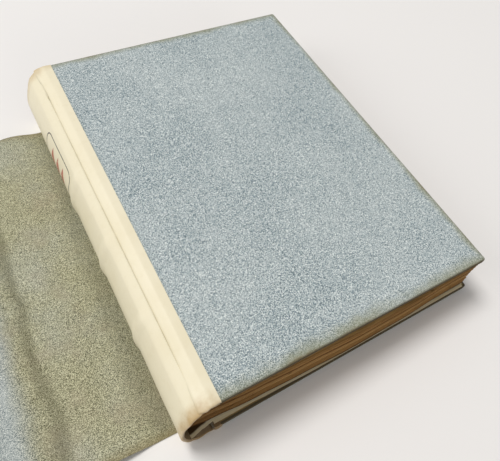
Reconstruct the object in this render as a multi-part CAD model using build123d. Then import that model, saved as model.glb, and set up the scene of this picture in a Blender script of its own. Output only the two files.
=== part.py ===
from build123d import *
import os
from math import atan2, cos, degrees, pi, radians, sin, sqrt, tan

# A case-bound book with a vellum spine, lying on its own paper jacket. All sizes are in millimetres.
# X runs from the spine to the fore-edge, Y from the tail to the head, and Z up from the table.

# Boards
board_height = 245.0
board_width = 177.0
board_thickness = 3.0
board_corner = 1.0
cover_slope = 2.6
board_shift = 2.4
book_thickness = 43.0

# Covering materials
cover_paper = 0.3
paper_turn_in = 13.0
vellum = 0.5
vellum_lap = 5.0
vellum_turn_in = 9.0
pastedown_paper = 0.2
pastedown_margin = 1.6

# Joints between the boards and the spine
groove_offset = 4.5
groove_depth = 2.7

# Spine
shoulder_run = 1.0
shoulder_drop = 1.2
spine_reach = 16.5
spine_bow_height = 18.3
spine_toe_reach = 12.2
spine_toe_height = 0.9
toe_fillet = 1.5
inlay = 0.8
spine_end_gap = 0.4

# Raised bands
band_count = 3
band_first = 0.229
band_last = 0.624
band_width = 4.0
band_slope = 3.0
band_height = 0.9
band_span = 58.0
band_end = 2.0
band_edge_share = 0.35
toe_angle_margin = 4.0

# Text block
gathering_count = 16
tail_square = 2.4
block_height = 239.6
back_shoulder = 0.4
back_reach = 12.8
back_toe = 8.0
fore_square = 2.0
fore_hollow = 1.5
leaf_unevenness = 0.6
fore_edge_phase = 2.4
tail_phase = 1.7
head_phase = 3.1
flyleaf_paper = 0.3
leaf_gap = 0.1
fold_fullness = 0.94
fold_passes = 4

# Sewing supports and lining
tape_thickness = 0.3
tape_width = 12.0
lining_thickness = 0.4
lining_margin = 12.0
lining_gap = 0.1
lining_end_angle = 3.0

# Jacket
jacket_paper = 0.3
jacket_height = 228.0
jacket_tail = 7.6
jacket_spine_width = 51.0
jacket_under_book = 15.0
jacket_turn = 2.0
jacket_panel_width = 184.0
jacket_flap = 68.0
jacket_step = 2.0
flap_gap = 0.4
flap_trim = 1.5

# Sizes worked out from the ones above
cover_total = board_thickness + 2 * cover_paper + pastedown_paper
book_bottom = 2 * jacket_paper
board_face = cover_paper + board_thickness
block_bottom = book_bottom + cover_total + leaf_gap + flyleaf_paper
leaf_tilt = tan(radians(cover_slope))
cover_drop = cover_total / cos(radians(cover_slope))
leaf_drop = (flyleaf_paper + 2 * leaf_gap) / cos(radians(cover_slope))
spine_tail = board_shift / 2
centre = Pos(-board_width / 2, -board_height / 2, 0)
front_place = Pos(0, board_shift, book_thickness) * Rot(0, cover_slope, 0)
back_place = Pos(0, 0, book_bottom)
vellum_rise = vellum - cover_paper


def save(node, shape):
    """Write one piece, moved so that the origin lies on the table under the middle of the book."""
    placed = centre * shape
    solids = placed.solids()
    piece = solids[0] if len(solids) == 1 else Compound(children=list(solids))
    piece.label = node
    export_step(piece, f"parts/{node}.step")


def slab(x_from, x_to, y_from, y_to, z_from, z_to):
    """Return a box between two corners."""
    middle = Pos((x_from + x_to) / 2, (y_from + y_to) / 2, (z_from + z_to) / 2)
    return middle * Box(x_to - x_from, y_to - y_from, z_to - z_from)


def circle_through(first, second, third):
    """Return the centre and the radius of the circle through three points."""
    (ax, az), (bx, bz), (cx, cz) = first, second, third
    twice = 2 * (ax * (bz - cz) + bx * (cz - az) + cx * (az - bz))
    a_square, b_square, c_square = ax**2 + az**2, bx**2 + bz**2, cx**2 + cz**2
    x = (a_square * (bz - cz) + b_square * (cz - az) + c_square * (az - bz)) / twice
    z = (a_square * (cx - bx) + b_square * (ax - cx) + c_square * (bx - ax)) / twice
    return (x, z), sqrt((ax - x) ** 2 + (az - z) ** 2)


def angle_on(middle, point):
    """Return the angle of a point seen from an arc's middle, counted from X towards Z."""
    return degrees(atan2(point[1] - middle[1], point[0] - middle[0])) % 360


def radial_plane(middle, angle):
    """Return the plane through an arc's axis whose x runs outwards and whose y runs to the head."""
    outward = (cos(radians(angle)), 0, sin(radians(angle)))
    along = (-sin(radians(angle)), 0, cos(radians(angle)))
    return Plane(origin=(middle[0], 0, middle[1]), x_dir=outward, z_dir=along)


def turned(middle, section, start, end):
    """Turn a section, drawn as radius and height, about an arc's axis from one angle to another."""
    axis = Axis((middle[0], 0, middle[1]), (0, -1, 0))
    return revolve(radial_plane(middle, start) * section, axis, end - start)


def band_of_arc(middle, inner, outer, start, end, y_from, y_to):
    """Return a curved strip of even thickness about an arc's axis."""
    section = Pos((inner + outer) / 2, (y_from + y_to) / 2) * Rectangle(outer - inner, y_to - y_from)
    return turned(middle, section, start, end)


def prism(face, y_from, y_to):
    """Pull a face, drawn as x and z, from one height along the spine to another."""
    plane = Plane(origin=(0, y_from, 0), x_dir=(1, 0, 0), z_dir=(0, -1, 0))
    return extrude(plane * face, amount=y_from - y_to)


def plate(x_from, x_to, grow, z_from, z_to):
    """Return a board-shaped plate, grown on its edges, with its two fore-edge corners rounded."""
    body = slab(x_from, x_to, -grow, board_height + grow, z_from, z_to)
    corners = body.edges().filter_by(Axis.Z).group_by(Axis.X)[-1]
    return fillet(corners, board_corner + grow)


# The two covers are drawn as the front one, with its outer face at z = 0 and its inner face below.
board = plate(0, board_width, 0, -board_face, -cover_paper)

paper_skin = plate(vellum_lap, board_width + cover_paper, cover_paper, -board_face - cover_paper, 0)
paper_window = slab(
    0,
    board_width - paper_turn_in,
    paper_turn_in,
    board_height - paper_turn_in,
    -board_face - cover_paper,
    -board_face,
)
cover_sheet = paper_skin - board - paper_window

lap_skin = slab(
    -vellum, vellum_lap, -cover_paper, board_height + cover_paper, -board_face - cover_paper, vellum_rise
)
lap_window = slab(
    -vellum,
    vellum_lap,
    vellum_turn_in,
    board_height - vellum_turn_in,
    -board_face - cover_paper,
    -board_face,
)
lap_edge_end = slab(
    -vellum, 0, -cover_paper, board_height + cover_paper, -board_face - cover_paper, -groove_depth - vellum
)
lap_strip = slab(
    -groove_offset, 0, -cover_paper, board_height + cover_paper, -groove_depth - vellum, -groove_depth
)
outer_edge = (lap_skin - board).edges().filter_by(Axis.Y).sort_by(Axis.X)[:2].sort_by(Axis.Z)[-1]
lap = fillet(outer_edge, vellum) - lap_window - lap_edge_end + lap_strip - board

pastedown = slab(
    pastedown_margin,
    board_width - pastedown_margin,
    pastedown_margin,
    board_height - pastedown_margin,
    -cover_total,
    -board_face - cover_paper,
)
infill = slab(
    vellum_lap,
    board_width - paper_turn_in,
    paper_turn_in,
    board_height - paper_turn_in,
    -board_face - cover_paper,
    -board_face,
)


def on_front(x, z):
    """Return where a point of the flat front cover's section lies on the closed book."""
    tilt = radians(cover_slope)
    return (x * cos(tilt) + z * sin(tilt), book_thickness - x * sin(tilt) + z * cos(tilt))


def leaf_top(x):
    """Return the height of the text block's upper face at a distance from the boards' spine edge."""
    return book_thickness - cover_drop - leaf_drop - x * leaf_tilt


# The spine's section runs from the front groove over the bow and the toe to the back groove.
front_groove = on_front(-groove_offset, -groove_depth)
back_groove = (-groove_offset, book_bottom + groove_depth)
shoulder = on_front(-groove_offset - shoulder_run, -groove_depth - shoulder_drop)
bow = (-spine_reach, spine_bow_height)
toe = (-spine_toe_reach, spine_toe_height)
spine_middle, spine_radius = circle_through(shoulder, bow, toe)

with BuildLine() as spine_path:
    Line(front_groove, shoulder)
    ThreePointArc(shoulder, bow, toe)
    Line(toe, back_groove)
    fillet(spine_path.vertices().sort_by(Axis.Y)[0], toe_fillet)
spine_outline = offset(spine_path.line, vellum, side=Side.LEFT, closed=True)

spine_height = board_height + board_shift - 2 * spine_tail
spine_head = spine_tail + spine_height
front_cut = front_place * slab(
    -groove_offset, board_thickness, -board_height, 2 * board_height, -2 * cover_total, 0
)
spine_wall = prism(make_face(spine_outline.edges()), spine_tail, spine_head) - front_cut

# The inlay is a curved card on the inside of the vellum, and the vellum turns in over both its ends.
bow_start = angle_on(spine_middle, shoulder) + spine_end_gap
bow_end = angle_on(spine_middle, toe) - toe_angle_margin
inlay_outer = spine_radius - vellum
inlay_inner = inlay_outer - inlay
inlay_tail = spine_tail + vellum
inlay_head = spine_head - vellum
spine_inlay = band_of_arc(
    spine_middle, inlay_inner, inlay_outer, bow_start, bow_end, inlay_tail, inlay_head
)
lip_inner = inlay_inner - vellum
for lip, turn in ((spine_tail, spine_tail + vellum_turn_in), (spine_head - vellum_turn_in, spine_head)):
    spine_wall += band_of_arc(spine_middle, lip_inner, inlay_inner, bow_start, bow_end, lip, turn)
for lip, inside in ((spine_tail, inlay_tail), (inlay_head, spine_head)):
    spine_wall += band_of_arc(spine_middle, lip_inner, spine_radius, bow_start, bow_end, lip, inside)

# Each raised band is a strip on the inlay. The vellum goes over it as a low ridge, short of the joints.
bow_angle = (bow_start + bow_end) / 2
band_places = [
    board_height * (band_first + number * (band_last - band_first) / (band_count - 1))
    for number in range(band_count)
]


def arched(width, foot, crown):
    """Return the arched section of a band or a ridge, drawn as radius and height."""
    with BuildSketch() as section:
        with BuildLine():
            edge = foot + (crown - foot) * band_edge_share
            Polyline((edge, width / 2), (foot, width / 2), (foot, -width / 2), (edge, -width / 2))
            ThreePointArc((edge, -width / 2), (crown, 0), (edge, width / 2))
        make_face()
    return section.sketch


spine_bands = []
for place in band_places:
    ridge = arched(band_width + 2 * band_slope, inlay_outer + vellum / 2, spine_radius + band_height)
    over = Pos(0, place) * ridge
    start = bow_angle - band_span / 2
    spine_wall += turned(spine_middle, over, start, start + band_span)
    under = Pos(0, place) * arched(band_width, inlay_outer, inlay_outer + band_height)
    core = turned(spine_middle, under, start + band_end, start + band_span - band_end)
    spine_bands.append(core)
    spine_wall -= core


# The text block's back follows an arc of its own, and its fore-edge is slightly hollow.
block_shoulder = (back_shoulder, leaf_top(back_shoulder))
block_bow = (-back_reach, (block_bottom + leaf_top(-back_reach)) / 2)
block_toe = (-back_toe, block_bottom)
back_middle, back_radius = circle_through(block_shoulder, block_bow, block_toe)
fore_edge = board_width - fore_square


def leaf_level(share, x):
    """Return the height at a distance x of the face that has a share of the leaves below it."""
    return block_bottom + share * (leaf_top(x) - block_bottom)


def gathering(number):
    """Return one folded gathering: round at the fold, thinner at the fore-edge, and a little uneven."""
    low_share = number / gathering_count
    high_share = (number + 1) / gathering_count
    middle_share = (low_share + high_share) / 2
    start = -back_reach
    for _ in range(fold_passes):
        fold = fold_fullness * (leaf_level(high_share, start) - leaf_level(low_share, start)) / 2
        rise = leaf_level(middle_share, start) - back_middle[1]
        start = back_middle[0] - sqrt((back_radius - fold) ** 2 - rise**2)
    end = fore_edge - fore_hollow * sin(pi * middle_share) + leaf_unevenness * sin(fore_edge_phase * number)
    tail = tail_square + leaf_unevenness * sin(tail_phase * (number + 1))
    head = tail_square + block_height + leaf_unevenness * sin(head_phase * (number + 1))
    with BuildSketch() as section:
        with BuildLine():
            low_back = (start, leaf_level(low_share, start))
            high_back = (start, leaf_level(high_share, start))
            low_fore = (end, leaf_level(low_share, end))
            high_fore = (end, leaf_level(high_share, end))
            Polyline(low_back, low_fore, high_fore, high_back)
            ThreePointArc(high_back, (start - fold, leaf_level(middle_share, start)), low_back)
        make_face()
    return prism(section.sketch, tail, head)


gatherings = [gathering(number) for number in range(gathering_count)]

# The free flyleaves lie on both sides of the gatherings.
block_head = tail_square + block_height
with BuildSketch() as flyleaf_section:
    Polygon(
        (back_shoulder, leaf_top(back_shoulder) + leaf_gap),
        (fore_edge, leaf_top(fore_edge) + leaf_gap),
        (fore_edge, leaf_top(fore_edge) + leaf_gap + flyleaf_paper),
        (back_shoulder, leaf_top(back_shoulder) + leaf_gap + flyleaf_paper),
        align=None,
    )
front_flyleaf = prism(flyleaf_section.sketch, tail_square, block_head)
back_flyleaf = slab(
    -back_toe, fore_edge, tail_square, block_head, block_bottom - flyleaf_paper, block_bottom
)

# The gatherings are sewn on tapes, and a cloth lining goes over the tapes.
back_start = angle_on(back_middle, block_shoulder) + lining_end_angle
back_end = angle_on(back_middle, block_toe) - lining_end_angle
tape_inner = back_radius + lining_gap
tape_outer = tape_inner + tape_thickness
sewing_tapes = [
    band_of_arc(
        back_middle,
        tape_inner,
        tape_outer,
        back_start,
        back_end,
        place - tape_width / 2,
        place + tape_width / 2,
    )
    for place in band_places
]
spine_lining = band_of_arc(
    back_middle,
    tape_outer,
    tape_outer + lining_thickness,
    back_start,
    back_end,
    tail_square + lining_margin,
    block_head - lining_margin,
)

# The jacket is drawn with its fold beside the book at x = 0, and then laid down at its own angle.
jacket_place = Pos(-jacket_under_book, board_height / 2, 0) * Rot(0, 0, -jacket_turn)
jacket_low = jacket_tail - board_height / 2
jacket_high = jacket_low + jacket_height
flap_start = jacket_panel_width - jacket_flap
step_start = flap_start - jacket_step
with BuildSketch() as front_panel_section:
    Polygon(
        (0, 0),
        (step_start, 0),
        (flap_start, jacket_paper),
        (jacket_panel_width, jacket_paper),
        (jacket_panel_width, 0),
        (jacket_panel_width + jacket_paper, 0),
        (jacket_panel_width + jacket_paper, 2 * jacket_paper),
        (flap_start, 2 * jacket_paper),
        (step_start, jacket_paper),
        (0, jacket_paper),
        align=None,
    )
jacket_front_panel = jacket_place * prism(front_panel_section.sketch, jacket_low, jacket_high)
flap_low = jacket_low + flap_trim
flap_high = jacket_high - flap_trim
jacket_front_flap = jacket_place * slab(
    flap_start + flap_gap, jacket_panel_width, flap_low, flap_high, 0, jacket_paper
)
jacket_spine = jacket_place * slab(-jacket_spine_width, 0, jacket_low, jacket_high, 0, jacket_paper)
back_fold = -jacket_spine_width - jacket_panel_width
jacket_back_panel = jacket_place * slab(
    back_fold, -jacket_spine_width, jacket_low, jacket_high, 0, jacket_paper
)
jacket_back_flap = jacket_place * slab(
    back_fold - jacket_flap, back_fold, flap_low, flap_high, 0, jacket_paper
)

os.makedirs("parts", exist_ok=True)
upside_down = back_place * Rot(180, 0, 0) * Pos(0, -board_height, 0)
for side, place in (("front", front_place), ("back", upside_down)):
    save(f"{side}_board", place * board)
    save(f"{side}_cover_paper", place * cover_sheet)
    save(f"{side}_lap_vellum", place * lap)
    save(f"{side}_pastedown", place * (pastedown + infill))
save("spine_vellum", spine_wall)
save("spine_inlay", spine_inlay)
for number in range(band_count):
    save(f"spine_band_{number + 1}", spine_bands[number])
    save(f"sewing_tape_{number + 1}", sewing_tapes[number])
save("spine_lining", spine_lining)
for number in range(gathering_count):
    save(f"gathering_{number + 1:02d}", gatherings[number])
save("front_flyleaf", front_flyleaf)
save("back_flyleaf", back_flyleaf)
save("jacket_front_panel", jacket_front_panel)
save("jacket_front_flap", jacket_front_flap)
save("jacket_spine", jacket_spine)
save("jacket_back_panel", jacket_back_panel)
save("jacket_back_flap", jacket_back_flap)
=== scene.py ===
"""Dresses a case-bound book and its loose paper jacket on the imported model.

The book has a vellum spine with raised bands and boards covered in speckled paper. It lies closed on its own
opened-out jacket. Lengths are in metres, and X runs to the fore-edge, Y to the head and Z up.
"""

import logging
import math
from dataclasses import dataclass, field
from enum import Enum
from typing import Sequence

import bmesh
import bpy
from mathutils import Matrix, Vector, noise


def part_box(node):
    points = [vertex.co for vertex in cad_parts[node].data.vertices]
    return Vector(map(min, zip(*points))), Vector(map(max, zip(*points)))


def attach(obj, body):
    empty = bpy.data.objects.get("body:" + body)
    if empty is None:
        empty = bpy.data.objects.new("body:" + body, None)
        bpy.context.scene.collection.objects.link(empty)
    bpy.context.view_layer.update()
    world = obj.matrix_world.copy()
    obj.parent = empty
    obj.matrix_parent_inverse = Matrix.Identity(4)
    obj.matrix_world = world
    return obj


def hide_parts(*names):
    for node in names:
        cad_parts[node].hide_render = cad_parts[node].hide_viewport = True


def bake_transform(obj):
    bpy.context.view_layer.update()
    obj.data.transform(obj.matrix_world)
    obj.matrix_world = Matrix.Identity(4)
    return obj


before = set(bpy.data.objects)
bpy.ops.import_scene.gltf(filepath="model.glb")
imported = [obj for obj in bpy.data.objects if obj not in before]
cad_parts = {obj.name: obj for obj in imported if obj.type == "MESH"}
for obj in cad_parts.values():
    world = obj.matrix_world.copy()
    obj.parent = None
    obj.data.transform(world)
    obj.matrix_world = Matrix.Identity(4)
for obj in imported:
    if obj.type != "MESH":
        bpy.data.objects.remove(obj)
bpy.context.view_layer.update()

log = logging.getLogger("book")
MM = 0.001
Material, Piece, Socket = bpy.types.Material, bpy.types.Object, bpy.types.NodeSocket


class Body(Enum):
    """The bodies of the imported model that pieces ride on."""

    JACKET = "jacket"
    BOOK = "book"
    FRONT_COVER = "front_cover"


def linear(code: str) -> tuple[float, ...]:
    """Return the linear red, green, blue and full alpha of an sRGB colour given as six hex digits."""
    channels = [int(code[place : place + 2], 16) / 255 for place in (0, 2, 4)]
    curve = [value / 12.92 if value <= 0.04045 else ((value + 0.055) / 1.055) ** 2.4 for value in channels]
    return (*curve, 1.0)


def smooth(value: float) -> float:
    """Return an eased share from 0 to 1 for a value, held at both ends."""
    share = min(1.0, max(0.0, value))
    return share * share * (3 - 2 * share)


def mesh_object(name: str, vertices: Sequence[Vector], faces: Sequence[Sequence[int]]) -> Piece:
    """Make a mesh object at the origin.

    Args:
        name: the piece's name.
        vertices: the corners, in metres.
        faces: the corner numbers of each face.

    Returns:
        The new object, linked to the scene.
    """
    mesh = bpy.data.meshes.new(name)
    mesh.from_pydata([tuple(vertex) for vertex in vertices], [], [tuple(face) for face in faces])
    mesh.validate()
    mesh.update()
    piece = bpy.data.objects.new(name, mesh)
    bpy.context.scene.collection.objects.link(piece)
    return piece


def coat(piece: Piece, finish: Material, angle: float = 40.0) -> None:
    """Give a piece its finish and shade it smoothly, except across edges above an angle in degrees."""
    piece.data.materials.append(finish)
    piece.data.shade_smooth()
    piece.data.set_sharp_from_angle(angle=math.radians(angle))


def store(piece: Piece, name: str, values: Sequence[float]) -> None:
    """Keep one number for each corner of a piece's mesh, for its material to read."""
    layer = piece.data.attributes.new(name, "FLOAT", "POINT")
    layer.data.foreach_set("value", list(values))


def face_outwards(mesh: bpy.types.Mesh, join: bool = False) -> None:
    """Turn the faces of a mesh outwards.

    Args:
        mesh: the mesh.
        join: whether to join doubled corners first.
    """
    shell = bmesh.new()
    shell.from_mesh(mesh)
    if join:
        bmesh.ops.remove_doubles(shell, verts=shell.verts, dist=1e-6)
    bmesh.ops.recalc_face_normals(shell, faces=shell.faces)
    shell.to_mesh(mesh)
    shell.free()


def apply_modifiers(piece: Piece) -> None:
    """Turn the result of a piece's modifiers into its plain mesh.

    Args:
        piece: the piece, whose modifiers are removed.
    """
    graph = bpy.context.evaluated_depsgraph_get()
    shaped = piece.evaluated_get(graph)
    mesh = bpy.data.meshes.new_from_object(shaped, preserve_all_data_layers=True, depsgraph=graph)
    piece.modifiers.clear()
    piece.data = mesh
    mesh.update()


def thicken(piece: Piece, thickness: float) -> None:
    """Make a sheet one closed shell.

    Args:
        piece: the sheet.
        thickness: its thickness in metres, below the outer face.
    """
    solid = piece.modifiers.new("thickness", "SOLIDIFY")
    solid.thickness = thickness
    solid.offset = -1.0
    apply_modifiers(piece)
    face_outwards(piece.data, join=True)
    piece.data.update()


def along(stops: Sequence[tuple[float, float]], place: float) -> float:
    """Read an eased line through stops.

    Args:
        stops: the places and their values, in order.
        place: the place to read.

    Returns:
        The value.
    """
    for (start, first), (end, last) in zip(stops, stops[1:]):
        if place <= end:
            return first + (last - first) * smooth((place - start) / (end - start))
    return stops[-1][1]


def grid_faces(rows: int, columns: int) -> list[tuple[int, int, int, int]]:
    """Return the faces of a grid of corners that were listed row by row."""
    starts = [row * columns + column for row in range(rows - 1) for column in range(columns - 1)]
    return [(low, low + 1, low + columns + 1, low + columns) for low in starts]


def circle(first: complex, second: complex, third: complex) -> tuple[complex, float]:
    """Return the middle and the radius of the circle through three points of a plane."""
    ratio = (third - first) / (second - first)
    middle = first + (second - first) * (ratio - abs(ratio) ** 2) / (2j * ratio.imag)
    return middle, abs(first - middle)


def catmull(points: Sequence[Vector], steps: int) -> list[Vector]:
    """Draw a smooth line through points.

    Args:
        points: the points that the line passes through.
        steps: how many stretches each gap between two points gets.

    Returns:
        The points of the smooth line.
    """
    line = []
    last = len(points) - 1
    for place in range(last):
        before, start = points[max(0, place - 1)], points[place]
        end, after = points[place + 1], points[min(last, place + 2)]
        for step in range(steps):
            t = step / steps
            bend = (2 * before - 5 * start + 4 * end - after) * t * t
            twist = (3 * start - before - 3 * end + after) * t * t * t
            line.append(0.5 * (2 * start + (end - before) * t + bend + twist))
    line.append(points[-1].copy())
    return line


class Tree:
    """The node tree of a material or a modifier, to which nodes are added."""

    def __init__(self, tree: bpy.types.NodeTree) -> None:
        """Keep the node tree that the nodes go into."""
        self.tree = tree

    def add(self, kind: str, *values: object, out: int | None = 0, **settings: object) -> object:
        """Add one node with its settings and links.

        Args:
            kind: the node's type name, where ShaderNode may be left out, and its mode after a space.
            values: a value, an output socket or None for each input in order, or one dict of inputs by name.
            out: the number of the output to return, or None for the node itself.
            settings: the node's own properties.

        Returns:
            The output socket or the node.
        """
        kind, _, mode = kind.partition(" ")
        node = self.tree.nodes.new(kind if "Node" in kind else f"ShaderNode{kind}")
        if mode:
            settings["interpolation_type" if kind == "MapRange" else "operation"] = mode
        for name, value in settings.items():
            setattr(node, name, value)
        given = values[0] if values and isinstance(values[0], dict) else dict(enumerate(values))
        for socket, value in given.items():
            if isinstance(value, Socket):
                self.tree.links.new(value, node.inputs[socket])
            elif value is not None:
                node.inputs[socket].default_value = value
        return node if out is None else node.outputs[out]


class Finish(Tree):
    """A material that is being made: its node tree and its main shader."""

    def __init__(self, name: str, rough: float, specular: float) -> None:
        """Start the material.

        Args:
            name: the material's name.
            rough: its roughness.
            specular: its specular level.
        """
        self.material = bpy.data.materials.new(name)
        self.material.use_nodes = True
        super().__init__(self.material.node_tree)
        self.shader = next(node for node in self.tree.nodes if node.type == "BSDF_PRINCIPLED")
        self.shader.inputs["Roughness"].default_value = rough
        self.shader.inputs["Specular IOR Level"].default_value = specular

    def over(
        self, colour: object, code: str, value: Socket, low: float, high: float, share: float = 1.0
    ) -> Socket:
        """Lay a colour over another.

        Args:
            colour: the colour below, as a socket or linear values.
            code: the colour on top, as six hex digits.
            value: the socket that says how much of it shows.
            low: the value at which none of it shows.
            high: the value at which most of it shows.
            share: how much that is.

        Returns:
            The new colour.
        """
        mask = self.add("MapRange SMOOTHSTEP", value, low, high, 0.0, share)
        return self.add("MixRGB", mask, colour, linear(code))

    def wander(
        self, place: Socket, size: float, reach: float, detail: float = 4.0, rough: float = 0.65
    ) -> Socket:
        """Return noise about 0, as high as a reach, in blotches about as large as a size in metres."""
        noisy = self.add("TexNoise", place, None, 0.5 / size, detail, rough)
        return self.add("Math MULTIPLY_ADD", noisy, reach, -reach / 2)

    def done(self, colour: object, height: object, depth: float) -> Material:
        """Give the shader its colour and its relief.

        Args:
            colour: the colour's socket.
            height: the relief's socket.
            depth: the relief's depth in metres.

        Returns:
            The material.
        """
        bump = self.add("Bump", {"Height": height, "Distance": depth, "Strength": 1.0})
        self.tree.links.new(colour, self.shader.inputs["Base Color"])
        self.tree.links.new(bump, self.shader.inputs["Normal"])
        return self.material


@dataclass(frozen=True)
class BookSizes:
    """The book's own sizes, in millimetres, measured from the back board's spine edge at the tail."""

    board_height: float = 245.0
    board_width: float = 177.0
    board_face: float = 3.3
    cover_total: float = 3.8
    cover_slope: float = 2.6
    board_shift: float = 2.4
    book_thickness: float = 43.0
    book_bottom: float = 0.6
    vellum_lap: float = 5.0
    vellum: float = 0.5
    groove_offset: float = 4.5
    groove_depth: float = 2.7
    spine_reach: float = 16.5
    spine_bow_height: float = 18.3
    shoulder_run: float = 1.0
    shoulder_drop: float = 1.2
    toe_reach: float = 12.2
    toe_height: float = 0.9

    def at(self, x: float, y: float, z: float) -> Vector:
        """Return a point of the book in metres in the model's own frame."""
        return Vector((x - self.board_width / 2, y - self.board_height / 2, z)) * MM

    def front(self, x: float, z: float) -> tuple[float, float]:
        """Return where a point of the flat front cover's section lies on the closed book."""
        tilt = math.radians(self.cover_slope)
        across = x * math.cos(tilt) + z * math.sin(tilt)
        return across, self.book_thickness - x * math.sin(tilt) + z * math.cos(tilt)

    def spine_arc(self) -> tuple[complex, float]:
        """Work out the spine's bow.

        Returns:
            Its middle in the section's plane and its radius.
        """
        run, drop = self.groove_offset + self.shoulder_run, self.groove_depth + self.shoulder_drop
        shoulder = self.front(-run, -drop)
        toe = complex(-self.toe_reach, self.toe_height)
        return circle(complex(*shoulder), complex(-self.spine_reach, self.spine_bow_height), toe)


@dataclass(frozen=True)
class SpeckledPaper:
    """Mould-made cover paper: blue-grey pulp with short pale and dark fibres, browned along its edges."""

    name: str = "speckled_mould_made_paper"
    ground: str = "A1B1B6"
    pale: str = "E6EBE8"
    dark: str = "4F626B"
    browned: str = "8E8C68"
    worn: str = "7C6C49"
    # Dark brown for the board's edges: partly rubbing, partly painted shade.
    rubbed_edge_and_shade: str = "4C412B"
    inside: str = "9A8252"
    fleck: float = 0.26 * MM
    cloud: float = 24.0 * MM
    edge: float = 6.0 * MM
    grain_depth: float = 0.06 * MM
    pale_flecks: tuple[float, float] = (0.5, 0.6)
    dark_flecks: tuple[float, float] = (0.5, 0.39)
    clouded: tuple[float, float, float] = (0.35, 0.7, 0.14)
    blotch: float = 11 * MM
    fore_narrowing: float = 1.7
    head_narrowing: float = 1.5

    def flecks(self, tree: Finish, grain: Socket, ground: str, pale: str, dark: str) -> Socket:
        """Fleck a ground colour.

        Args:
            tree: the material's tree.
            grain: the height of the grain.
            ground: the ground, as six hex digits.
            pale: the flecks where the grain is high.
            dark: the flecks where it is low.

        Returns:
            The colour.
        """
        colour = tree.over(linear(ground), pale, grain, *self.pale_flecks)
        return tree.over(colour, dark, grain, *self.dark_flecks)

    def flecked(self, tree: Finish, place: Socket) -> tuple[Socket, Socket]:
        """Return the flecked colour and the grain's relief.

        The real fibres are about a tenth of a millimetre wide. They are drawn as wide as a fleck, so that
        they show at this distance.

        Args:
            tree: the material's tree.
            place: the point of the piece.

        Returns:
            The colour and the height of the grain.
        """
        curled = {"Vector": place, "Scale": 0.5 / self.fleck, "Detail": 1.5, "Roughness": 0.6}
        grain = tree.add("TexNoise", {**curled, "Distortion": 0.9})
        colour = self.flecks(tree, grain, self.ground, self.pale, self.dark)
        cloud = tree.add("TexNoise", place, None, 0.5 / self.cloud, 3.0)
        return tree.over(colour, self.pale, cloud, *self.clouded), grain

    def on_board(self, low: Vector, high: Vector) -> Material:
        """Return the paper for a board that lies between two corners.

        Args:
            low: the board's lowest corner.
            high: its highest corner.

        Returns:
            The material. It reads the mesh's "side": 0 outside, 0.5 on the edges and 1 inside.
        """
        tree = Finish(self.name, 0.88, 0.25)
        add = tree.add
        place = add("TexCoord", out=3)
        colour, grain = self.flecked(tree, place)
        x, y, _ = add("SeparateXYZ", place, out=None).outputs
        # The browning is narrower along the fore-edge and the head than along the tail.
        fore = add("Math MULTIPLY", add("Math SUBTRACT", high.x, x), self.fore_narrowing)
        head = add("Math MULTIPLY", add("Math SUBTRACT", high.y, y), self.head_narrowing)
        reach = add("Math MINIMUM", fore, add("Math SUBTRACT", y, low.y))
        reach = add("Math MINIMUM", reach, head)
        ragged = add("Math ADD", reach, tree.wander(place, self.blotch, self.edge * 2.4))
        colour = tree.over(colour, self.browned, ragged, self.edge * 1.5, -1.0 * MM, 0.66)
        colour = tree.over(colour, self.worn, ragged, 0.4 * MM, -2.4 * MM, 0.7)
        # Darker on the outer 1.3 mm of each face and on the board's edges: partly rubbing, partly painted
        # shade on the edges and on the outer part of the inner strip.
        colour = tree.over(colour, self.rubbed_edge_and_shade, reach, 1.3 * MM, 0.3 * MM, 0.55)
        side = add("Attribute", out=2, attribute_name="side")
        colour = tree.over(colour, self.rubbed_edge_and_shade, side, 0.1, 0.4, 0.9)
        colour = tree.over(colour, self.inside, side, 0.75, 0.95, 0.9)
        return tree.done(colour, grain, self.grain_depth)


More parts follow.
